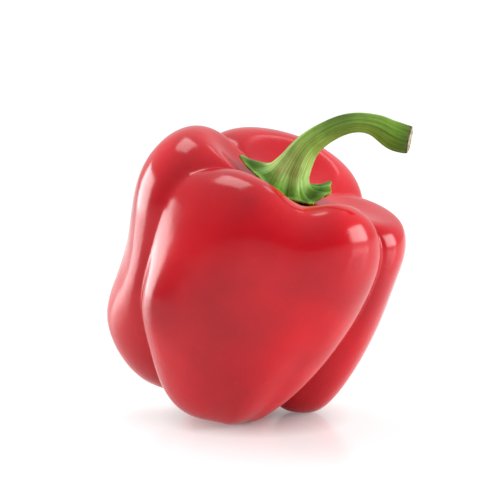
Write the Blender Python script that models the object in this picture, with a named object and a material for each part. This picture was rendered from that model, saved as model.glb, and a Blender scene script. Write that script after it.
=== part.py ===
"""A blocky red bell pepper lying on three of its feet: one grown fruit, its calyx and its bent stem.

Metres, +Z up. The fruit is drawn upright about its own axis, then leaned and set down on z = 0.
Directions round it are compass angles in degrees: 0 front (-Y), 90 right (+X), 180 back, 270 left.
"""

import math

import bmesh
import bpy
from mathutils import Matrix, Vector

# ---- overall sizes ----
FRUIT_HALF_WIDTH = 0.043     # axis to the belly of an average lobe
FRUIT_HEIGHT = 0.090         # lowest foot to highest shoulder, along the fruit's own axis
CAVITY_FLOOR = 0.889         # where the stem leaves, as a share of the height
CAVITY_STEEPNESS = 2.2       # 1 is an even bowl, more is a flat floor with steeper walls
BLOSSOM_PIT = 0.220          # the pit between the feet, as a share of the height
SHOULDER_FULLNESS = 2.5      # 2 is a round shoulder, more is squarer
FURROW_FULLNESS = 2.0        # the same for the side of every furrow below the belly
LEAN_RIGHT = 18.0            # how far the axis leans to the right, degrees
LEAN_FORWARD = 11.0          # and towards the front
FOOT_FLAT_DEPTH = 0.0008     # how much of each standing foot is pressed flat
FIRST_FOOT = 1               # the front right lobe stands on the ground,
OTHER_FEET = (2, 3)          # the right and back lobes reach down to it too; the left one hangs free

# Each lobe and the furrow after it. Columns: direction, then as shares of the half width and the
# height the shoulder's radius and height, the belly's radius and height, the foot's radius and
# height, and last the fullness of a lobe's side below its belly.
LOBES = (
    (-32, 0.56, 0.976, 0.905, 0.65, 0.410, 0.083, 2.2),     # front left
    (29, 0.54, 0.974, 0.850, 0.73, 0.320, 0.083, 1.55),     # front right
    (94, 0.70, 0.906, 0.895, 0.74, 0.510, 0.122, 2.5),      # right
    (187, 0.72, 0.980, 1.085, 0.74, 0.490, 0.000, 2.3),     # back
    (257, 0.74, 0.990, 1.080, 0.66, 0.430, 0.052, 2.5),     # left
)
# The same measures, and last how sharp a crease the furrow is: 0 a soft wave, near 1 a knife crease.
FURROWS = (
    (1, 0.52, 0.936, 0.840, 0.68, 0.390, 0.089, 0.0),       # the shallow dip between the front lobes
    (64, 0.44, 0.910, 0.770, 0.74, 0.270, 0.310, 0.90),
    (131, 0.45, 0.893, 0.815, 0.73, 0.300, 0.220, 0.88),
    (232, 0.60, 0.930, 0.940, 0.72, 0.300, 0.220, 0.88),
    (290, 0.53, 0.932, 0.930, 0.72, 0.400, 0.187, 0.92),
)
# Soft swellings and hollows: direction, height as a share, how far each spreads, how far it stands out.
SWELLINGS = (
    (268, 0.80, 0.016, 0.0018),
    (268, 0.50, 0.012, -0.0022),
    (262, 0.22, 0.013, 0.0024),
    (302, 0.42, 0.013, 0.0040),
)

# ---- calyx ----
CLEARANCE = 0.0003           # left between pieces that touch
CALYX_EDGE = 0.0011          # thickness at the rim
COLLAR_MARGIN = 0.0004       # the collar's top stands out this far round the stem
COLLAR_HEIGHT = 0.0046
COLLAR_FLARE = 0.0060        # how far out the collar's foot spreads
CALYX_SPREAD = 0.0034        # from the collar to the bottom of the notches between the teeth
# direction, length beyond the notches, and half width in degrees
CALYX_TEETH = (
    (270, 0.0106, 34),
    (322, 0.0040, 24),
    (12, 0.0042, 26),
    (72, 0.0042, 27),
    (128, 0.0048, 26),
    (200, 0.0058, 34),
)

# ---- stem ----
STEM_LENGTH = 0.0430
STEM_BASE_RADIUS = 0.0052
STEM_WAIST_RADIUS = 0.0030   # thinnest, two thirds of the way along
STEM_END_RADIUS = 0.0043     # the swollen cut end
STEM_WAIST_FROM = 0.50       # where the flare of the base ends, where the swelling of the end starts,
STEM_WAIST_TO = 0.70         # and where it is full, as shares of the length
STEM_SWOLLEN_FROM = 0.86
# Places along the stalk and its headings away from the fruit's axis, degrees
STEM_HEADINGS = (
    (0.00, 2.0), (0.13, 9.0), (0.28, 31.0), (0.50, 52.0), (0.72, 88.0), (0.82, 104.0), (1.00, 80.0),
)
STEM_BENDS_TOWARDS = 86.0    # the direction it bends over to
STEM_FOOT_ASIDE = 0.0028     # its foot stands this far from the fruit's axis, on the other side
STEM_RIDGES = 5
STEM_RIDGE_DEPTH = 0.08      # share of the radius
STEM_TWIST = 35.0            # turn of the ridges from base to tip

COLUMNS_PER_LOBE = 12
CAVITY_RINGS, SHOULDER_RINGS, SIDE_RINGS, SOLE_RINGS = 6, 7, 12, 9
STEM_SECTIONS = 24

AROUND = COLUMNS_PER_LOBE * len(LOBES)
COLLAR_RADIUS = STEM_BASE_RADIUS * (1.0 + STEM_RIDGE_DEPTH) + COLLAR_MARGIN
LEAN = (Matrix.Rotation(math.radians(LEAN_FORWARD), 4, "X")
        @ Matrix.Rotation(math.radians(LEAN_RIGHT), 4, "Y"))


def compass(direction, radius, height):
    """The point this far out from the axis, in this direction and at this height."""
    angle = math.radians(direction)
    return Vector((radius * math.sin(angle), -radius * math.cos(angle), height))


# ---- fruit ----

def meridian(lobe, across, longer=0.0):
    """Direction and measures of one line down a lobe; across runs 0 to 1 from furrow to furrow."""
    middle, before, after = list(LOBES[lobe]), list(FURROWS[lobe - 1]), list(FURROWS[lobe])
    middle[6] -= longer / FRUIT_HEIGHT
    before[0] -= 360.0 * math.ceil((before[0] - middle[0]) / 360.0)
    after[0] += 360.0 * math.ceil((middle[0] - after[0]) / 360.0)
    side = 2.0 * across - 1.0
    skew = (after[0] + before[0]) / 2.0 - middle[0]
    direction = middle[0] + (after[0] - before[0]) / 2.0 * side + skew * side * side
    near = before if side < 0 else after
    crease = near[7]
    if crease:
        to_furrow = (1.0 - math.sqrt(1.0 - (crease * side) ** 2)) / (1.0 - math.sqrt(1.0 - crease ** 2))
    else:
        to_furrow = (1.0 - math.cos(math.pi * side)) / 2.0
    shares = [m + (n - m) * to_furrow for m, n in zip(middle[1:7], near[1:7])]
    fullness = middle[7] + (FURROW_FULLNESS - middle[7]) * to_furrow
    scales = (FRUIT_HALF_WIDTH, FRUIT_HEIGHT) * 3
    return direction, [share * scale for share, scale in zip(shares, scales)] + [fullness]


def lobe_lines(lobe, longer=0.0):
    """One lobe's meridians, closer together near its furrows."""
    lines = []
    for k in range(COLUMNS_PER_LOBE):
        even = k / COLUMNS_PER_LOBE
        packed = (1.0 - math.cos(math.pi * even)) / 2.0
        lines.append(meridian(lobe, 0.45 * even + 0.55 * packed, longer))
    return lines


def cavity_height(sizes, radius):
    """Height of the skin in the hollow round the stem."""
    floor = CAVITY_FLOOR * FRUIT_HEIGHT
    out = (radius / sizes[0]) ** CAVITY_STEEPNESS
    return floor + (sizes[1] - floor) * (1.0 - math.cos(math.pi * out)) / 2.0


def outline(sizes):
    """Radius and height down one meridian, from the stem over shoulder and side to the blossom pit."""
    crest_r, crest_z, belly_r, belly_z, foot_r, foot_z, fullness = sizes
    pit = BLOSSOM_PIT * FRUIT_HEIGHT
    points = []
    for k in range(CAVITY_RINGS + 1):
        radius = crest_r * k / CAVITY_RINGS
        points.append((radius, cavity_height(sizes, radius)))
    for k in range(1, SHOULDER_RINGS + 1):
        turn, power = math.pi / 2 * k / SHOULDER_RINGS, 2.0 / SHOULDER_FULLNESS
        points.append((crest_r + (belly_r - crest_r) * math.sin(turn) ** power,
                       belly_z + (crest_z - belly_z) * max(math.cos(turn), 0.0) ** power))
    for k in range(1, SIDE_RINGS + 1):
        turn, power = math.pi / 2 * k / SIDE_RINGS, 2.0 / fullness
        points.append((foot_r + (belly_r - foot_r) * max(math.cos(turn), 0.0) ** power,
                       belly_z - (belly_z - foot_z) * math.sin(turn) ** power))
    for k in range(1, SOLE_RINGS + 1):
        inward = 1.0 - k / SOLE_RINGS
        points.append((foot_r * inward, pit + (foot_z - pit) * (1.0 - math.cos(math.pi * inward)) / 2.0))
    return points


def lowest(lobe, longer):
    """Height of a lobe's foot in the leaned fruit, when the lobe has grown this much longer."""
    return min((LEAN @ compass(direction, *spot)).z
               for direction, sizes in lobe_lines(lobe, longer) for spot in outline(sizes))


def feet_grown():
    """How much longer each lobe is than its row says, so that all the standing ones meet the ground."""
    ground = lowest(FIRST_FOOT, 0.0)
    grown = [0.0] * len(LOBES)
    for lobe in OTHER_FEET:
        for _ in range(12):
            grown[lobe] += lowest(lobe, grown[lobe]) - ground
    return grown


def fruit_body(lines):
    """A sphere whose rings and meridians are drawn out into cavity, shoulders, lobes and feet."""
    drawn = [(direction, outline(sizes)) for direction, sizes in lines]
    rings = len(drawn[0][1]) - 1
    fruit = bmesh.new()
    bmesh.ops.create_uvsphere(fruit, u_segments=AROUND, v_segments=rings, radius=1.0)
    for vert in fruit.verts:
        ring = round(math.acos(max(-1.0, min(1.0, vert.co.z))) / math.pi * rings)
        column = round(math.atan2(vert.co.y, vert.co.x) / (2.0 * math.pi) * AROUND) % AROUND
        direction, points = drawn[column]
        vert.co = compass(direction, *points[ring])
    for direction, up, spread, amount in SWELLINGS:
        middle = compass(direction, FRUIT_HALF_WIDTH, up * FRUIT_HEIGHT)
        for vert in fruit.verts:
            far = (vert.co - middle).length / spread
            vert.co += compass(direction, amount, 0.0) * math.exp(-far * far)
    return fruit


# ---- calyx and stem ----

def open_ring(shape, sides, place):
    """A ring of numbered points; place puts each one from its number. Returns its edges."""
    number = shape.verts.layers.int.new("number")
    made = bmesh.ops.create_circle(shape, cap_ends=False, segments=sides, radius=1.0)
    for vert in made["verts"]:
        vert[number] = round(math.atan2(vert.co.y, vert.co.x) / (2.0 * math.pi) * sides) % sides
        vert.co = place(vert[number])
    return list(shape.edges)


def draw_on(shape, edges, place):
    """Extrudes the open rim on to a new ring. Returns the new rim."""
    number = shape.verts.layers.int["number"]
    grown = bmesh.ops.extrude_edge_only(shape, edges=edges)["geom"]
    rim = [edge for edge in grown if isinstance(edge, bmesh.types.BMEdge) and edge.is_boundary]
    for vert in {vert for edge in rim for vert in edge.verts}:
        vert.co = place(vert[number])
    return rim


def close_ends(shape):
    """Gathers each open rim to a point at its middle and turns the faces outwards."""
    rims = [edge for edge in shape.edges if edge.is_boundary]
    caps = bmesh.ops.holes_fill(shape, edges=rims, sides=0)["faces"]
    bmesh.ops.poke(shape, faces=caps)
    bmesh.ops.recalc_face_normals(shape, faces=shape.faces)
    return shape


def stem_foot(height):
    """Middle of the stem's foot at this height."""
    return compass(STEM_BENDS_TOWARDS, -STEM_FOOT_ASIDE, height)


def calyx_reach(direction):
    """How far the calyx spreads in this direction."""
    reach = 0.0
    for towards, length, half_width in CALYX_TEETH:
        off = abs((direction - towards + 180.0) % 360.0 - 180.0) / half_width
        reach = max(reach, length * max(0.0, 1.0 - off) ** 1.25)
    return COLLAR_RADIUS + CALYX_SPREAD + reach


def calyx_body(lines):
    """A crown in the cavity: its underside follows the fruit, its middle rises into a collar."""
    gap = CLEARANCE * 1.7
    lid = CAVITY_FLOOR * FRUIT_HEIGHT + gap + CALYX_EDGE + COLLAR_HEIGHT

    def crown(share, sizes, direction, radius, up):
        aside = stem_foot(0.0) * (1.0 - share) ** 2
        return compass(direction, radius, cavity_height(sizes, radius) + up) + aside

    def below(share, inner=1.0):
        def place(k):
            direction, sizes = lines[k]
            radius = (COLLAR_RADIUS + (calyx_reach(direction) * 0.985 - COLLAR_RADIUS) * share) * inner
            return crown(share, sizes, direction, radius, gap)
        return place

    def above(share):
        def place(k):
            direction, sizes = lines[k]
            radius = COLLAR_RADIUS + (calyx_reach(direction) - COLLAR_RADIUS) * share
            thick = CALYX_EDGE * (1.6 - 0.6 * share)
            rise = max(COLLAR_RADIUS + COLLAR_FLARE - radius, 0.0) / COLLAR_FLARE
            up = COLLAR_HEIGHT * 0.8 * rise * rise
            return crown(share, sizes, direction, radius, gap + thick + up)
        return place

    calyx = bmesh.new()
    rim = open_ring(calyx, AROUND, below(0.0, 0.5))
    for share in (0.0, 0.12, 0.30, 0.50, 0.70, 0.86, 1.0):
        rim = draw_on(calyx, rim, below(share))
    for share in (1.0, 0.86, 0.70, 0.50, 0.30, 0.12):
        rim = draw_on(calyx, rim, above(share))
    for share in (1.0, 0.55):
        rim = draw_on(
            calyx, rim, lambda k: compass(lines[k][0], COLLAR_RADIUS * share, 0.0) + stem_foot(lid))
    return close_ends(calyx)


def stem_radius(along):
    """Flares at the base, thinnest at the waist, swells at the cut end."""
    if along < STEM_WAIST_FROM:
        flare = (1.0 - along / STEM_WAIST_FROM) ** 1.6
        return STEM_WAIST_RADIUS + (STEM_BASE_RADIUS - STEM_WAIST_RADIUS) * flare
    share = (along - STEM_WAIST_TO) / (STEM_SWOLLEN_FROM - STEM_WAIST_TO)
    share = max(0.0, min(1.0, share))
    return STEM_WAIST_RADIUS + (STEM_END_RADIUS - STEM_WAIST_RADIUS) * share * share * (3.0 - 2.0 * share)


def stem_turn(along):
    """Heading of the stalk away from the fruit's axis."""
    for (start, first), (end, last) in zip(STEM_HEADINGS, STEM_HEADINGS[1:]):
        if along <= end:
            return math.radians(first + (last - first) * (along - start) / (end - start))
    return math.radians(last)


def stem_body():
    """A ridged stalk that leaves the collar upright and bends over to one side."""
    sides = 30
    base = CAVITY_FLOOR * FRUIT_HEIGHT + CLEARANCE * 2.7 + CALYX_EDGE + COLLAR_HEIGHT
    upwards, outward = Vector((0.0, 0.0, 1.0)), compass(STEM_BENDS_TOWARDS, 1.0, 0.0)
    across = upwards.cross(outward)

    def section(along, middle):
        turn = stem_turn(along) if along else 0.0
        level = outward * math.cos(turn) - upwards * math.sin(turn)

        def place(k):
            angle = 2.0 * math.pi * k / sides
            ridge = math.cos(STEM_RIDGES * (angle + math.radians(STEM_TWIST) * along))
            radius = stem_radius(along) * (1.0 + STEM_RIDGE_DEPTH * ridge)
            return middle + (level * math.cos(angle) + across * math.sin(angle)) * radius
        return place

    middle = stem_foot(base)
    stem = bmesh.new()
    rim = open_ring(stem, sides, section(0.0, middle))
    for step in range(1, STEM_SECTIONS + 1):
        turn = stem_turn((step - 0.5) / STEM_SECTIONS)
        heading = outward * math.sin(turn) + upwards * math.cos(turn)
        middle = middle + heading * (STEM_LENGTH / STEM_SECTIONS)
        rim = draw_on(stem, rim, section(step / STEM_SECTIONS, middle))
    return close_ends(stem)


# ---- setting down ----

def material(name, colour, roughness, coat):
    made = bpy.data.materials.new(name)
    made.use_nodes = True
    shader = made.node_tree.nodes["Principled BSDF"]
    shader.inputs["Base Color"].default_value = (*colour, 1.0)
    shader.inputs["Roughness"].default_value = roughness
    shader.inputs["Metallic"].default_value = 0.0
    shader.inputs["Coat Weight"].default_value = coat
    made.diffuse_color = (*colour, 1.0)
    return made


def add(name, shape, surface):
    mesh = bpy.data.meshes.new(name)
    shape.to_mesh(mesh)
    shape.free()
    mesh.shade_smooth()
    mesh.materials.append(surface)
    bpy.context.scene.collection.objects.link(bpy.data.objects.new(name, mesh))


def middle_of(values):
    return (min(values) + max(values)) / 2.0


for old in list(bpy.data.objects):
    bpy.data.objects.remove(old, do_unlink=True)

grown = feet_grown()
meridians = [line for lobe in range(len(LOBES)) for line in lobe_lines(lobe, grown[lobe])]
bodies = {"fruit": fruit_body(meridians), "calyx": calyx_body(meridians), "stem": stem_body()}
for body in bodies.values():
    bmesh.ops.transform(body, matrix=LEAN, verts=body.verts)

corners = [vert.co.copy() for body in bodies.values() for vert in body.verts]
ground = min(vert.co.z for vert in bodies["fruit"].verts) + FOOT_FLAT_DEPTH
move = -Vector((middle_of([c.x for c in corners]), middle_of([c.y for c in corners]), ground))
for body in bodies.values():
    bmesh.ops.translate(body, vec=move, verts=body.verts)
for vert in bodies["fruit"].verts:
    vert.co.z = max(vert.co.z, 0.0)

add("fruit", bodies["fruit"], material("red skin", (0.68, 0.005, 0.011), 0.17, 0.0))
add("calyx", bodies["calyx"], material("calyx green", (0.16, 0.30, 0.05), 0.50, 0.0))
add("stem", bodies["stem"], material("stem green", (0.26, 0.40, 0.10), 0.45, 0.0))
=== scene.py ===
"""Looks of a red bell pepper: the glossy lobed fruit, and its toothed green calyx with the bent stem.

Metres, +Z up, ground at z = 0. The fruit is drawn upright about its own axis, then leaned over.
Directions round that axis are degrees: 0 front (-Y), 90 right (+X), 180 back, 270 left.
"""

import math

import bmesh
import bpy
from mathutils import Matrix, Vector, noise


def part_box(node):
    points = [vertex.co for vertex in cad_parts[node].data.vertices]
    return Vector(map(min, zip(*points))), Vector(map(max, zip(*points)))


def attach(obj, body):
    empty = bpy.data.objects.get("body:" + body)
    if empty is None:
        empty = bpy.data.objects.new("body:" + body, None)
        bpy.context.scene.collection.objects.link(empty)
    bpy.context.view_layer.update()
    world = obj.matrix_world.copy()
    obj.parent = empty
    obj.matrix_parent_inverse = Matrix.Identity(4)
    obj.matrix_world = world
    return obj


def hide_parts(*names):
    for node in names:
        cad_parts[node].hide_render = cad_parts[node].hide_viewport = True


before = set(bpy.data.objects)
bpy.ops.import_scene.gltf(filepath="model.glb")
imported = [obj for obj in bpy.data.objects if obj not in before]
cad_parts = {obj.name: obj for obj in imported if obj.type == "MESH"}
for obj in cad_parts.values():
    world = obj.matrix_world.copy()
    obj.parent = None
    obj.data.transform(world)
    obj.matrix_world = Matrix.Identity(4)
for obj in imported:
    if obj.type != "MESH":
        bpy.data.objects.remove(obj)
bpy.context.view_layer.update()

# ---- the fruit ----
HALF_WIDTH = 0.043                  # axis to the belly of an average lobe
HEIGHT = 0.090                      # lowest foot to highest shoulder, along its own axis
CAVITY_FLOOR = 0.889                # where the stem leaves, as a share of the height
CAVITY_STEEPNESS = 2.2              # 1 is an even bowl, more is a flat floor with steeper walls
BLOSSOM_PIT = 0.220                 # the pit between the feet, as a share of the height
SHOULDER_FULLNESS = 2.5
FURROW_FULLNESS = 2.0
FLAT_DEPTH = 0.0008                 # how much of each standing foot is pressed flat
FOOT_SOFTNESS = 0.0006              # how gently the pressed part rounds into the foot
FOOT_ZONE = 0.004                   # only skin this near the ground is pressed
LEAN_FORWARD, LEAN_RIGHT = math.radians(11.0), math.radians(18.0)
LEAN = Matrix.Rotation(LEAN_FORWARD, 4, "X") @ Matrix.Rotation(LEAN_RIGHT, 4, "Y")

# Each lobe: direction, then shoulder, belly and foot as shares of the half width and of the height,
# then the fullness of its lower side.
LOBES = (
    (-32, 0.56, 0.976, 0.905, 0.65, 0.410, 0.083, 2.2),
    (29, 0.54, 0.974, 0.850, 0.73, 0.320, 0.083, 1.55),
    (94, 0.70, 0.906, 0.895, 0.74, 0.510, 0.115, 2.5),
    (187, 0.72, 0.980, 1.085, 0.74, 0.490, -0.011, 2.3),
    (257, 0.74, 0.990, 1.080, 0.66, 0.430, 0.052, 2.5),
)
# The furrow after each lobe, and last how sharp its crease is: 0 a soft wave, near 1 a knife crease.
FURROWS = (
    (1, 0.52, 0.936, 0.840, 0.68, 0.390, 0.089, 0.0),
    (64, 0.44, 0.910, 0.770, 0.74, 0.270, 0.310, 0.90),
    (131, 0.45, 0.893, 0.815, 0.73, 0.300, 0.220, 0.88),
    (232, 0.60, 0.930, 0.940, 0.72, 0.300, 0.220, 0.88),
    (290, 0.53, 0.932, 0.930, 0.72, 0.400, 0.187, 0.92),
)
# Soft swellings and hollows: direction, height as a share, how far each spreads, how far it stands out.
SWELLINGS = (
    (268, 0.80, 0.016, 0.0018),
    (268, 0.50, 0.012, -0.0022),
    (262, 0.22, 0.013, 0.0024),
    (302, 0.42, 0.013, 0.0040),
)
COLUMNS = 18                        # meridians drawn on each lobe
CROWDING = 0.55                     # how much the meridians crowd towards the furrows: 0 evenly spaced
RINGS = (9, 12, 20, 13)             # rings in the cavity, on the shoulder, down the side, on the sole

# The waviness of the skin: waves in a metre, and how far they stand out.
BROAD_WAVES, BROAD_RELIEF = 55.0, 0.00026
FINE_WAVES, FINE_RELIEF = 130.0, 0.00007
CALM_RADIUS = 0.012                 # nearer the axis than this the waves fade out

# ---- calyx and stem ----
# Each tooth: direction, length beyond the notches, half width in degrees, and how far its tip curls up.
TEETH = (
    (266, 0.0112, 52, 0.0028),
    (322, 0.0050, 24, 0.0010),
    (12, 0.0042, 26, 0.0010),
    (66, 0.0016, 30, 0.0040),
    (112, 0.0022, 30, 0.0050),
    (200, 0.0060, 34, 0.0006),
)
TOOTH_POINT = 0.75                  # 1 for straight-sided teeth, less for rounder ones
CALYX_RADIUS = 0.0086               # to the bottom of the notches between the teeth
NOTCH_CURL = 0.0004                 # how far the edge curls up in the notches
CURL_SPREAD = 1.6                   # 1 curls only a tooth's tip fully, more takes in its sides too
CALYX_EDGE = 0.0010                 # its thickness where it meets the stem; the rim is a third thinner
CALYX_HOLE = 0.0040                 # radius of the patch under the stem where the underside closes
CURL_FROM = 0.15                    # the teeth start to curl up here, as a share of the way to the rim
RAGGED_REACH, RAGGED_CURL = 0.16, 0.35      # unevenness of the edge, as shares of its reach and curl
FOLDS, FOLD_HEIGHT = 11, 0.0007     # shallow folds that run out from the stem
# How steeply the crown falls away from the stem's foot, and how much less so on its spreading side.
FALL, FALL_EASED, SPREADS_TOWARDS = 3.4, 2.2, 262.0
# Rings drawn outwards under the crown and back in over it, as shares of the way to its rim.
RINGS_UNDER = (0.3, 0.55, 0.75, 0.9, 1.0)
RINGS_OVER = (0.99, 0.93, 0.84, 0.74, 0.64, 0.54, 0.44, 0.34, 0.25, 0.17, 0.10, 0.05)
COLLAR_RISE = 0.0067                # how far the stem's foot stands above the cavity's floor
STEM_LENGTH = 0.0430
STEM_BENDS_TOWARDS = 86.0
# Shares of the stem's length: headings away from the fruit's axis in degrees, and radii.
STEM_HEADINGS = ((0.0, 2), (0.13, 9), (0.28, 31), (0.50, 52), (0.72, 88), (0.82, 104), (1.0, 80))
STEM_RADII = (
    (0.0, 0.0044), (0.13, 0.0039), (0.27, 0.0034), (0.48, 0.0030),
    (0.68, 0.0029), (0.80, 0.0036), (0.90, 0.0042), (1.0, 0.0041),
)
STEM_SKIRT = 0.75                   # how much farther the foot spreads on the side it bends away from
SKIRT_FADE = 0.14                   # the share of the length over which that spread dies away
STEM_FOOT_ASIDE = 0.0026            # the foot stands this far from the fruit's axis, on that side
STEM_RIDGES = 5
RIDGE_TURN = 0.6                    # radians that the ribs turn from base to tip
RIB, GROOVE, LUMP = 0.070, 0.030, 0.050     # their relief, as shares of the stem's radius
CUT_SLANT = 0.15                    # the stem is cut on a slight slant, so the cut turns to the front
CUT_FROM = 0.9                      # the slant starts here, as a share of the length
# Rings on the cut end, from outside in: share of the stem's radius, and how far each stands out.
RINGS_ON_RIM = ((0.96, 0.0004), (0.89, 0.0005))
RINGS_ON_CUT = ((0.80, 0.0001), (0.62, -0.0003), (0.40, 0.0000), (0.20, -0.0002))
GREEN_SIDES = 96                    # points in each ring
STEM_SECTIONS = 54
SKIN_SURFACE, RIM_SURFACE, CUT_SURFACE = 0, 1, 2    # materials of the green piece, in their order

# ---- camera ----
CAMERA_HEIGHT = math.radians(9.0)   # above level
CAMERA_DISTANCE = 0.75
LENS, SENSOR = 174.2, 36.0          # millimetres
AIM_RIGHT, AIM_UP = -0.0015, 0.0067     # what it looks at, from the middle of the fruit


def compass(direction, radius, height):
    """The point this far out from the axis, in this direction and at this height."""
    angle = math.radians(direction)
    return Vector((radius * math.sin(angle), -radius * math.cos(angle), height))


def smooth_read(rows, at):
    """Reads a table of (place, value) at a place, on a curve that runs smoothly through the rows."""
    last = len(rows) - 1
    step = max(i for i in range(last) if at >= rows[i][0] or i == 0)
    (x0, y0), (x1, y1) = rows[step], rows[step + 1]
    xa, ya = rows[max(step - 1, 0)]
    xb, yb = rows[min(step + 2, last)]
    width = x1 - x0
    t = (at - x0) / width
    start, end = (y1 - ya) / (x1 - xa) * width, (yb - y0) / (xb - x0) * width
    return ((2 * t ** 3 - 3 * t ** 2 + 1) * y0 + (t ** 3 - 2 * t ** 2 + t) * start
            + (3 * t ** 2 - 2 * t ** 3) * y1 + (t ** 3 - t ** 2) * end)


# ---- shape of the fruit ----

def lobe_and_furrows(lobe):
    """A lobe's row and the rows of the furrows before and after it, with directions in order."""
    middle, before, after = LOBES[lobe], list(FURROWS[lobe - 1]), list(FURROWS[lobe])
    before[0] -= 360.0 * math.ceil((before[0] - middle[0]) / 360.0)
    after[0] += 360.0 * math.ceil((middle[0] - after[0]) / 360.0)
    return middle, before, after


def lobe_shape(lobe, side):
    """Measures of a meridian of a lobe: side is -1 in the furrow before, 0 mid-lobe, 1 in the next."""
    middle, before, after = lobe_and_furrows(lobe)
    near = before if side < 0 else after
    crease = near[7]
    if crease:
        blend = (1.0 - math.sqrt(1.0 - (crease * side) ** 2)) / (1.0 - math.sqrt(1.0 - crease ** 2))
    else:
        blend = (1.0 - math.cos(math.pi * side)) / 2.0
    shape = [m + (n - m) * blend for m, n in zip(middle[1:7], near[1:7])]
    scales = (HALF_WIDTH, HEIGHT) * 3
    fullness = middle[7] + (FURROW_FULLNESS - middle[7]) * blend
    return [share * scale for share, scale in zip(shape, scales)] + [fullness]


def meridian(lobe, across):
    """Direction and measures of one line down a lobe; across runs 0 to 1 from furrow to furrow."""
    middle, before, after = lobe_and_furrows(lobe)
    side = 2.0 * across - 1.0
    skew = (after[0] + before[0]) / 2.0 - middle[0]
    return middle[0] + (after[0] - before[0]) / 2.0 * side + skew * side * side, lobe_shape(lobe, side)


def shape_towards(direction):
    """Measures of the fruit's meridian in any direction."""
    for lobe in range(len(LOBES)):
        middle, before, after = lobe_and_furrows(lobe)
        turned = before[0] + (direction - before[0]) % 360.0
        if turned <= after[0]:
            half, skew = (after[0] - before[0]) / 2.0, (after[0] + before[0]) / 2.0 - middle[0]
            off = turned - middle[0]
            side = off / half
            if abs(skew) > 1e-6:
                side = (math.sqrt(max(half * half + 4.0 * skew * off, 0.0)) - half) / (2.0 * skew)
            return lobe_shape(lobe, max(-1.0, min(1.0, side)))


def cavity_height(shape, radius):
    """Height of the skin in the hollow round the stem."""
    rise = shape[1] - CAVITY_FLOOR * HEIGHT
    out = (radius / shape[0]) ** CAVITY_STEEPNESS
    return CAVITY_FLOOR * HEIGHT + rise * (1.0 - math.cos(math.pi * out)) / 2.0


def down_the_skin(shape, ring):
    """Radius and height of a meridian at a ring, counted from the stem to the blossom pit."""
    crest_r, crest_z, belly_r, belly_z, foot_r, foot_z, fullness = shape
    cavity, shoulder, side, sole = RINGS
    if ring <= cavity:
        radius = crest_r * ring / cavity
        return radius, cavity_height(shape, radius)
    ring -= cavity
    if ring <= shoulder:
        turn, power = math.pi / 2 * ring / shoulder, 2.0 / SHOULDER_FULLNESS
        return (crest_r + (belly_r - crest_r) * math.sin(turn) ** power,
                belly_z + (crest_z - belly_z) * max(math.cos(turn), 0.0) ** power)
    ring -= shoulder
    if ring <= side:
        turn, power = math.pi / 2 * ring / side, 2.0 / fullness
        return (foot_r + (belly_r - foot_r) * max(math.cos(turn), 0.0) ** power,
                belly_z - (belly_z - foot_z) * math.sin(turn) ** power)
    inward, pit = 1.0 - (ring - side) / sole, BLOSSOM_PIT * HEIGHT
    return foot_r * inward, pit + (foot_z - pit) * (1.0 - math.cos(math.pi * inward)) / 2.0


def lines_round_the_fruit():
    """Every meridian once round, closer together near the furrows."""
    lines = []
    for lobe in range(len(LOBES)):
        for k in range(COLUMNS):
            even = k / COLUMNS
            packed = (1.0 - math.cos(math.pi * even)) / 2.0
            lines.append(meridian(lobe, (1.0 - CROWDING) * even + CROWDING * packed))
    return lines


def fruit_body():
    """A sphere whose rings and meridians are drawn out into cavity, shoulders, lobes and feet."""
    lines = lines_round_the_fruit()
    around, rings = len(lines), sum(RINGS)
    fruit = bmesh.new()
    bmesh.ops.create_uvsphere(fruit, u_segments=around, v_segments=rings, radius=1.0)
    for vert in fruit.verts:
        ring = round(math.acos(max(-1.0, min(1.0, vert.co.z))) / math.pi * rings)
        line = round(math.atan2(vert.co.y, vert.co.x) / (2 * math.pi) * around) % around
        direction, shape = lines[line]
        vert.co = compass(direction, *down_the_skin(shape, ring))
    for direction, up, spread, amount in SWELLINGS:
        middle = compass(direction, HALF_WIDTH, up * HEIGHT)
        for vert in fruit.verts:
            far = (vert.co - middle).length / spread
            vert.co += compass(direction, amount, 0.0) * math.exp(-far * far)
    add_unevenness(fruit)
    bmesh.ops.transform(fruit, matrix=LEAN, verts=fruit.verts)
    return fruit


def add_unevenness(fruit):
    """The slight waviness of a grown skin, strongest on the sides and none at the poles."""
    fruit.normal_update()
    elsewhere = Vector((7, 3, 1))
    moves = []
    for vert in fruit.verts:
        broad = noise.noise(vert.co * BROAD_WAVES) * BROAD_RELIEF
        fine = noise.noise(vert.co * FINE_WAVES + elsewhere) * FINE_RELIEF
        moves.append(vert.normal * (broad + fine) * min(1.0, vert.co.xy.length / CALM_RADIUS))
    for vert, step in zip(fruit.verts, moves):
        vert.co += step


def lay_down(fruit):
    """Sets the leaned fruit where the frame has it and presses its feet flat. Returns the move."""
    low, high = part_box("fruit")
    xs, ys = [v.co.x for v in fruit.verts], [v.co.y for v in fruit.verts]
    bottom = min(v.co.z for v in fruit.verts)
    move = Vector(((low.x + high.x - min(xs) - max(xs)) / 2, (low.y + high.y - min(ys) - max(ys)) / 2,
                   low.z - FLAT_DEPTH - bottom))
    bmesh.ops.translate(fruit, vec=move, verts=fruit.verts)
    for vert in fruit.verts:
        above = vert.co.z - low.z
        if above < FOOT_ZONE:
            rounded = (above + math.sqrt(above * above + FOOT_SOFTNESS ** 2)) / 2
            vert.co.z = low.z + rounded - FOOT_SOFTNESS / 8
    return move


# ---- shape of the calyx and stem ----

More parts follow.
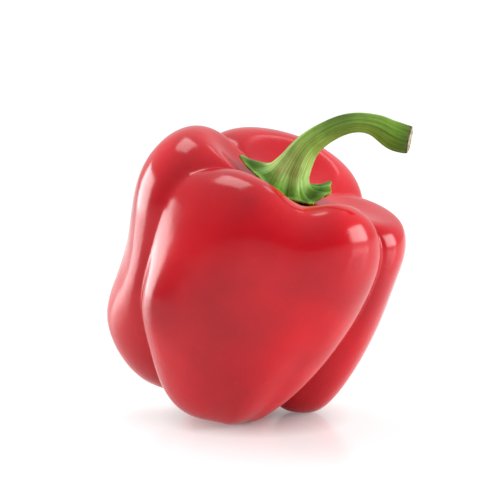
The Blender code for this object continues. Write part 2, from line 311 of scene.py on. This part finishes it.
def calyx_edge(direction):
    """How far the calyx spreads in this direction, and how far its edge curls up there."""
    reach, curl = CALYX_RADIUS, NOTCH_CURL
    for towards, length, half_width, tip in TEETH:
        off = max(0.0, 1.0 - abs((direction - towards + 180.0) % 360.0 - 180.0) / half_width)
        reach = max(reach, CALYX_RADIUS + length * off ** TOOTH_POINT)
        curl = max(curl, tip * min(1.0, off * CURL_SPREAD))
    angle = math.radians(direction)
    ragged = noise.noise(Vector((math.cos(angle), math.sin(angle), 0)) * 8.0)
    return reach * (1.0 + RAGGED_REACH * ragged), curl * (1.0 + RAGGED_CURL * ragged)


def curl_up(curl, share):
    """How far the crown has curled up at this share of the way to its rim."""
    return curl * max(0.0, (share - CURL_FROM) / (1.0 - CURL_FROM)) ** 0.9


def stem_turn(along):
    """Heading of the stalk at this share of its length, away from the fruit's axis."""
    return math.radians(smooth_read(STEM_HEADINGS, along))


def ridge_height(angle, along):
    """Relief of the stem's ribs, as a share of its radius; they turn a little as they climb."""
    turned = angle + RIDGE_TURN * along
    ribs = RIB * math.cos(STEM_RIDGES * turned) + GROOVE * math.cos(2 * STEM_RIDGES * turned + 1.0)
    place = Vector((math.cos(turned), math.sin(turned), along))
    return ribs + LUMP * noise.noise(place * 3.0)


def stem_sections():
    """Middle, heading and share of the length of each section up the stalk."""
    outward, upwards = compass(STEM_BENDS_TOWARDS, 1.0, 0.0), Vector((0, 0, 1))
    middle = upwards * (CAVITY_FLOOR * HEIGHT + COLLAR_RISE) - outward * STEM_FOOT_ASIDE
    sections = [(middle, stem_turn(0.0), 0.0)]
    for step in range(1, STEM_SECTIONS + 1):
        turn = stem_turn((step - 0.5) / STEM_SECTIONS)
        heading = outward * math.sin(turn) + upwards * math.cos(turn)
        middle = middle + heading * (STEM_LENGTH / STEM_SECTIONS)
        sections.append((middle, stem_turn(step / STEM_SECTIONS), step / STEM_SECTIONS))
    return sections


def stem_point(section, k, share=1.0, forward=0.0):
    """Point k of a stem section; share shrinks the section, forward moves it along the stalk."""
    middle, turn, along = section
    outward, upwards = compass(STEM_BENDS_TOWARDS, 1.0, 0.0), Vector((0, 0, 1))
    level = outward * math.cos(turn) - upwards * math.sin(turn)
    heading = outward * math.sin(turn) + upwards * math.cos(turn)
    angle = math.radians(360.0 * k / GREEN_SIDES - STEM_BENDS_TOWARDS)
    skirt = STEM_SKIRT * math.exp(-along / SKIRT_FADE) * max(0.0, -math.cos(angle)) ** 2
    radius = smooth_read(STEM_RADII, along) * (1.0 + skirt + ridge_height(angle, along)) * share
    spread = level * math.cos(angle) + upwards.cross(outward) * math.sin(angle)
    cut = CUT_SLANT * spread.y * radius * max(0.0, (along - CUT_FROM) / (1.0 - CUT_FROM))
    return middle + spread * radius + heading * (forward + cut)


def draw_on(green, rim, place, along, surface=SKIN_SURFACE):
    """Extrudes the open rim on to a new ring, placed point by point. Returns the new rim."""
    number, grain = green.verts.layers.int["number"], green.verts.layers.float_vector["grain"]
    made = bmesh.ops.extrude_edge_only(green, edges=rim)["geom"]
    new_rim = [edge for edge in made if isinstance(edge, bmesh.types.BMEdge) and edge.is_boundary]
    for vert in {vert for edge in new_rim for vert in edge.verts}:
        vert.co = place(vert[number])
        angle = 2.0 * math.pi * vert[number] / GREEN_SIDES
        vert[grain] = Vector((math.cos(angle), math.sin(angle), along))
    for face in made:
        if isinstance(face, bmesh.types.BMFace):
            face.material_index = surface
    return new_rim


def calyx_and_stem():
    """One green piece: the crown lying in the cavity, and the stalk that grows out of it."""
    green = bmesh.new()
    number = green.verts.layers.int.new("number")
    green.verts.layers.float_vector.new("grain")
    sections = stem_sections()

    def under(share):
        def place(k):
            direction = 360.0 * k / GREEN_SIDES
            reach, curl = calyx_edge(direction)
            radius = CALYX_HOLE + (reach - CALYX_HOLE) * share
            skin = cavity_height(shape_towards(direction), radius)
            return compass(direction, radius, skin + curl_up(curl, share))
        return place

    def over(share):
        def place(k):
            direction = 360.0 * k / GREEN_SIDES
            reach, curl = calyx_edge(direction)
            foot, edge = stem_point(sections[0], k), compass(direction, reach, 0.0)
            spot = foot.xy.lerp(edge.xy, share)
            skin = cavity_height(shape_towards(math.degrees(math.atan2(spot.x, -spot.y))), spot.length)
            spreading = max(0.0, math.cos(math.radians(direction - SPREADS_TOWARDS)))
            rise = (foot.z - skin - CALYX_EDGE) * (1.0 - share) ** (FALL - FALL_EASED * spreading)
            fold = FOLD_HEIGHT * math.sin(math.pi * share) * math.cos(math.radians(direction) * FOLDS)
            thick = CALYX_EDGE * (1.0 - 0.35 * share)
            return Vector((spot.x, spot.y, skin + thick + curl_up(curl, share) + fold + rise))
        return place

    made = bmesh.ops.create_circle(green, cap_ends=False, segments=GREEN_SIDES, radius=1.0)
    for vert in made["verts"]:
        turns = math.atan2(vert.co.y, vert.co.x) / (2 * math.pi)
        vert[number] = round(turns * GREEN_SIDES) % GREEN_SIDES
        vert.co = under(0.0)(vert[number])
    rim = list(green.edges)
    for share in RINGS_UNDER:
        rim = draw_on(green, rim, under(share), -0.5 * share)
    for share in RINGS_OVER:
        rim = draw_on(green, rim, over(share), -0.5 * share)
    for section in sections:
        rim = draw_on(green, rim, lambda k: stem_point(section, k), section[2])
    for rings, surface in ((RINGS_ON_RIM, RIM_SURFACE), (RINGS_ON_CUT, CUT_SURFACE)):
        for share, forward in rings:
            rim = draw_on(green, rim, lambda k: stem_point(section, k, share, forward), 1.0, surface)
    open_edges = [edge for edge in green.edges if edge.is_boundary]
    ends = bmesh.ops.holes_fill(green, edges=open_edges, sides=0)
    for face in ends["faces"]:
        at_the_tip = face.calc_center_median().x > CALYX_RADIUS
        face.material_index = CUT_SURFACE if at_the_tip else SKIN_SURFACE
    bmesh.ops.poke(green, faces=ends["faces"])
    bmesh.ops.recalc_face_normals(green, faces=green.faces)
    bmesh.ops.transform(green, matrix=LEAN, verts=green.verts)
    return green


def finish_piece(name, shape, levels, materials):
    """Makes the shape a smooth object that stays at the origin and rides with the pepper."""
    mesh = bpy.data.meshes.new(name)
    shape.to_mesh(mesh)
    shape.free()
    mesh.shade_smooth()
    for material in materials:
        mesh.materials.append(material)
    piece = bpy.data.objects.new(name, mesh)
    bpy.context.scene.collection.objects.link(piece)
    rounding = piece.modifiers.new("rounding", "SUBSURF")
    rounding.levels = rounding.render_levels = levels
    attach(piece, "root")
    return piece


# ---- finishes ----

def new_finish(name):
    """A new material. Returns its nodes, its links, its shader and the material."""
    material = bpy.data.materials.new(name)
    material.use_nodes = True
    nodes = material.node_tree.nodes
    return nodes, material.node_tree.links, nodes["Principled BSDF"], material


def add_noise(nodes, links, vector, scale, detail, stretch=(1.0, 1.0, 1.0)):
    """A noise pattern on these coordinates, stretched by a Mapping node. Returns its value socket."""
    mapping = nodes.new("ShaderNodeMapping")
    mapping.inputs["Scale"].default_value = stretch
    links.new(vector, mapping.inputs["Vector"])
    pattern = nodes.new("ShaderNodeTexNoise")
    pattern.inputs["Scale"].default_value = scale
    pattern.inputs["Detail"].default_value = detail
    links.new(mapping.outputs["Vector"], pattern.inputs["Vector"])
    return pattern.outputs["Fac"]


def add_ramp(nodes, links, value, *stops):
    """A colour ramp with these (position, colour) stops. Returns its colour socket."""
    ramp = nodes.new("ShaderNodeValToRGB")
    for element, (position, colour) in zip(ramp.color_ramp.elements, stops):
        element.position, element.color = position, (*colour, 1.0)
    for position, colour in stops[2:]:
        ramp.color_ramp.elements.new(position).color = (*colour, 1.0)
    links.new(value, ramp.inputs["Fac"])
    return ramp.outputs["Color"]


def add_mix(nodes, links, amount, first, second, blend="MIX"):
    """Mixes two colours by an amount, each a socket or a fixed value. Returns the mixed colour."""
    mix = nodes.new("ShaderNodeMix")
    mix.data_type, mix.blend_type = "RGBA", blend
    for socket, value in ((mix.inputs[0], amount), (mix.inputs[6], first), (mix.inputs[7], second)):
        if isinstance(value, bpy.types.NodeSocket):
            links.new(value, socket)
        else:
            socket.default_value = value if isinstance(value, float) else (*value, 1.0)
    return mix.outputs[2]


def add_range(nodes, links, value, start, end, low, high):
    """Turns a value that runs from start to end into one that runs from low to high."""
    span = nodes.new("ShaderNodeMapRange")
    for name, amount in (("From Min", start), ("From Max", end), ("To Min", low), ("To Max", high)):
        span.inputs[name].default_value = amount
    links.new(value, span.inputs["Value"])
    return span.outputs["Result"]


def add_relief(nodes, links, shader, height, strength, depth):
    """Roughens a shader's surface by a pattern's height."""
    relief = nodes.new("ShaderNodeBump")
    relief.inputs["Strength"].default_value = strength
    relief.inputs["Distance"].default_value = depth
    links.new(height, relief.inputs["Height"])
    links.new(relief.outputs["Normal"], shader.inputs["Normal"])


def red_skin():
    """Waxy red skin: slightly uneven in colour, with a very fine orange-peel relief under the gloss."""
    nodes, links, skin, material = new_finish("red_skin")
    place = nodes.new("ShaderNodeTexCoord").outputs["Object"]
    clouds = add_noise(nodes, links, place, 32.0, 3.0)
    colour = add_ramp(nodes, links, clouds, (0.34, (0.44, 0.002, 0.010)), (0.66, (0.63, 0.004, 0.013)))
    freckles = add_noise(nodes, links, place, 620.0, 2.0)
    pale = add_ramp(nodes, links, freckles, (0.62, (0.0, 0.0, 0.0)), (0.76, (0.20, 0.20, 0.20)))
    colour = add_mix(nodes, links, pale, colour, (0.74, 0.018, 0.018))
    links.new(colour, skin.inputs["Base Color"])
    waves = add_noise(nodes, links, place, 150.0, 2.0)
    add_relief(nodes, links, skin, waves, 0.14, 0.0006)
    sheen = add_range(nodes, links, clouds, 0.0, 1.0, 0.14, 0.20)
    links.new(sheen, skin.inputs["Roughness"])
    skin.inputs["IOR"].default_value = 1.40
    return material


def grain_of(nodes):
    """Coordinates that follow the stalk: round it in X and Y, along it in Z, below 0 on the crown."""
    grain = nodes.new("ShaderNodeAttribute")
    grain.attribute_name = "grain"
    return grain.outputs["Vector"]


def green_skin():
    """Satin green stalk: pale at its foot, with painted shade darkening the hollow of the crown, and
    fibres that run along it.
    """
    nodes, links, skin, material = new_finish("stem_green")
    grain = grain_of(nodes)
    place = nodes.new("ShaderNodeTexCoord").outputs["Object"]
    length = nodes.new("ShaderNodeSeparateXYZ")
    links.new(grain, length.inputs["Vector"])
    along = add_range(nodes, links, length.outputs["Z"], -0.5, 1.0, 0.0, 1.0)
    # The dark stop at 0.13 is painted shade in the crown's hollow, between the stem's foot and the
    # curled-up teeth.
    colour = add_ramp(nodes, links, along,
                      (0.0, (0.240, 0.480, 0.050)), (1.0, (0.110, 0.210, 0.012)),
                      (0.13, (0.085, 0.210, 0.012)), (0.24, (0.200, 0.420, 0.040)),
                      (0.35, (0.560, 0.860, 0.240)), (0.50, (0.380, 0.640, 0.100)),
                      (0.68, (0.190, 0.350, 0.036)), (0.82, (0.290, 0.500, 0.065)),
                      (0.93, (0.150, 0.300, 0.020)))
    fibres = add_noise(nodes, links, grain, 11.0, 5.0, (1.0, 1.0, 0.14))
    streaks = add_ramp(nodes, links, fibres, (0.34, (0.55, 0.64, 0.42)), (0.66, (1.22, 1.16, 1.40)))
    colour = add_mix(nodes, links, 1.0, colour, streaks, "MULTIPLY")
    patches = add_noise(nodes, links, place, 150.0, 3.0)
    shade = add_ramp(nodes, links, patches, (0.36, (0.70, 0.72, 0.62)), (0.58, (1.0, 1.0, 1.0)))
    colour = add_mix(nodes, links, 1.0, colour, shade, "MULTIPLY")
    links.new(colour, skin.inputs["Base Color"])
    threads = add_noise(nodes, links, grain, 26.0, 3.0, (1.0, 1.0, 0.10))
    add_relief(nodes, links, skin, threads, 0.55, 0.0005)
    skin.inputs["Roughness"].default_value = 0.46
    skin.inputs["IOR"].default_value = 1.33
    return material


def cut_rim():
    """The dried brown edge of the cut."""
    nodes, links, bark, material = new_finish("cut_rim")
    place = nodes.new("ShaderNodeTexCoord").outputs["Object"]
    specks = add_noise(nodes, links, place, 900.0, 3.0)
    colour = add_ramp(nodes, links, specks,
                      (0.35, (0.030, 0.018, 0.008)), (0.65, (0.140, 0.090, 0.040)))
    links.new(colour, bark.inputs["Base Color"])
    add_relief(nodes, links, bark, specks, 0.6, 0.0003)
    bark.inputs["Roughness"].default_value = 0.75
    return material


def pith():
    """The pale, fibrous face of the cut."""
    nodes, links, face, material = new_finish("pith")
    place = nodes.new("ShaderNodeTexCoord").outputs["Object"]
    specks = add_noise(nodes, links, place, 700.0, 4.0)
    colour = add_ramp(nodes, links, specks,
                      (0.35, (0.180, 0.130, 0.060)), (0.65, (0.520, 0.480, 0.300)))
    links.new(colour, face.inputs["Base Color"])
    add_relief(nodes, links, face, specks, 0.6, 0.0003)
    face.inputs["Roughness"].default_value = 0.80
    return material


# ---- room ----

def add_floor():
    """A pale, slightly shiny table that also makes the background. It glows with painted light, less so
    in front, and a painted contact shadow leaves the glow out where the pepper stands."""
    table = bmesh.new()
    bmesh.ops.create_grid(table, x_segments=1, y_segments=1, size=6.0)
    mesh = bpy.data.meshes.new("table")
    table.to_mesh(mesh)
    table.free()
    nodes, links, surface, material = new_finish("white_table")
    surface.inputs["Base Color"].default_value = (0.54, 0.54, 0.54, 1.0)
    surface.inputs["Roughness"].default_value = 0.20
    surface.inputs["IOR"].default_value = 1.30
    surface.inputs["Emission Color"].default_value = (1.0, 1.0, 1.0, 1.0)
    place = nodes.new("ShaderNodeTexCoord").outputs["Object"]
    spot = nodes.new("ShaderNodeSeparateXYZ")
    links.new(place, spot.inputs["Vector"])
    # Painted light: the table glows of itself, weaker towards the front.
    painted_glow = add_range(nodes, links, spot.outputs["Y"], -0.30, -0.15, 0.30, 0.48)
    from_middle = nodes.new("ShaderNodeVectorMath")
    from_middle.operation = "LENGTH"
    links.new(place, from_middle.inputs[0])
    # Painted contact shadow: the glow is left out within about 3 cm of the spot where the pepper
    # stands.
    outside_painted_shadow = add_range(nodes, links, from_middle.outputs["Value"], 0.004, 0.031, 0.0, 1.0)
    light = nodes.new("ShaderNodeMath")
    light.operation = "MULTIPLY"
    links.new(painted_glow, light.inputs[0])
    links.new(outside_painted_shadow, light.inputs[1])
    links.new(light.outputs["Value"], surface.inputs["Emission Strength"])
    mesh.materials.append(material)
    floor = bpy.data.objects.new("table", mesh)
    bpy.context.scene.collection.objects.link(floor)


def soft_box(name, middle, direction, height, distance, wide, tall, brightness):
    """A rectangular lamp that faces the pepper; its direction and height are in degrees."""
    level = distance * math.cos(math.radians(height))
    place = middle + compass(direction, level, distance * math.sin(math.radians(height)))
    lamp = bpy.data.lights.new(name, "AREA")
    lamp.shape = "RECTANGLE"
    lamp.size, lamp.size_y = wide, tall
    lamp.energy = brightness * math.pi * wide * tall
    light = bpy.data.objects.new(name, lamp)
    light.location = place
    light.rotation_euler = (middle - place).to_track_quat("-Z", "Y").to_euler()
    bpy.context.scene.collection.objects.link(light)


def add_light(middle):
    """Two side boxes, one overhead, a small one behind, and a room brighter above and behind."""
    soft_box("left_box", middle, -117, 9, 0.9, 0.58, 0.36, 8.2)
    soft_box("right_box", middle, 85, 14, 0.9, 0.60, 0.42, 9.0)
    soft_box("top_box", middle, -134, 71, 1.0, 0.56, 0.46, 5.0)
    soft_box("back_right_box", middle, 140, 48, 1.0, 0.20, 0.18, 2.2)
    world = bpy.data.worlds.new("studio")
    bpy.context.scene.world = world
    world.use_nodes = True
    nodes, links = world.node_tree.nodes, world.node_tree.links
    walls = nodes["Background"]
    facing = nodes.new("ShaderNodeVectorMath")
    facing.operation = "DOT_PRODUCT"
    facing.inputs[1].default_value = (0.0, 0.40, 0.92)
    links.new(nodes.new("ShaderNodeTexCoord").outputs["Generated"], facing.inputs[0])
    brightness = add_range(nodes, links, facing.outputs["Value"], -0.25, 0.75, 0.22, 0.90)
    links.new(brightness, walls.inputs["Strength"])
    walls.inputs["Color"].default_value = (1.0, 1.0, 1.0, 1.0)


def add_camera(target):
    """A long lens, a little above level, straight at the pepper's front."""
    lens = bpy.data.cameras.new("camera")
    lens.sensor_width, lens.lens = SENSOR, LENS
    camera = bpy.data.objects.new("camera", lens)
    level, up = CAMERA_DISTANCE * math.cos(CAMERA_HEIGHT), CAMERA_DISTANCE * math.sin(CAMERA_HEIGHT)
    camera.location = target + compass(0.0, level, up)
    camera.rotation_euler = (target - camera.location).to_track_quat("-Z", "Y").to_euler()
    bpy.context.scene.collection.objects.link(camera)
    bpy.context.scene.camera = camera


fruit_low, fruit_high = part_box("fruit")
fruit_middle = (fruit_low + fruit_high) / 2
add_camera(Vector((fruit_middle.x + AIM_RIGHT, 0.0, fruit_middle.z + AIM_UP)))

fruit_shape = fruit_body()
move = lay_down(fruit_shape)
fruit = finish_piece("fruit_skin", fruit_shape, 2, [red_skin()])
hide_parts("fruit")

green_shape = calyx_and_stem()
bmesh.ops.translate(green_shape, vec=move, verts=green_shape.verts)
green = finish_piece("calyx_and_stem", green_shape, 1, [green_skin(), cut_rim(), pith()])
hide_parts("calyx", "stem")

add_floor()
add_light(fruit_middle)
bpy.context.scene.view_settings.view_transform = "Standard"
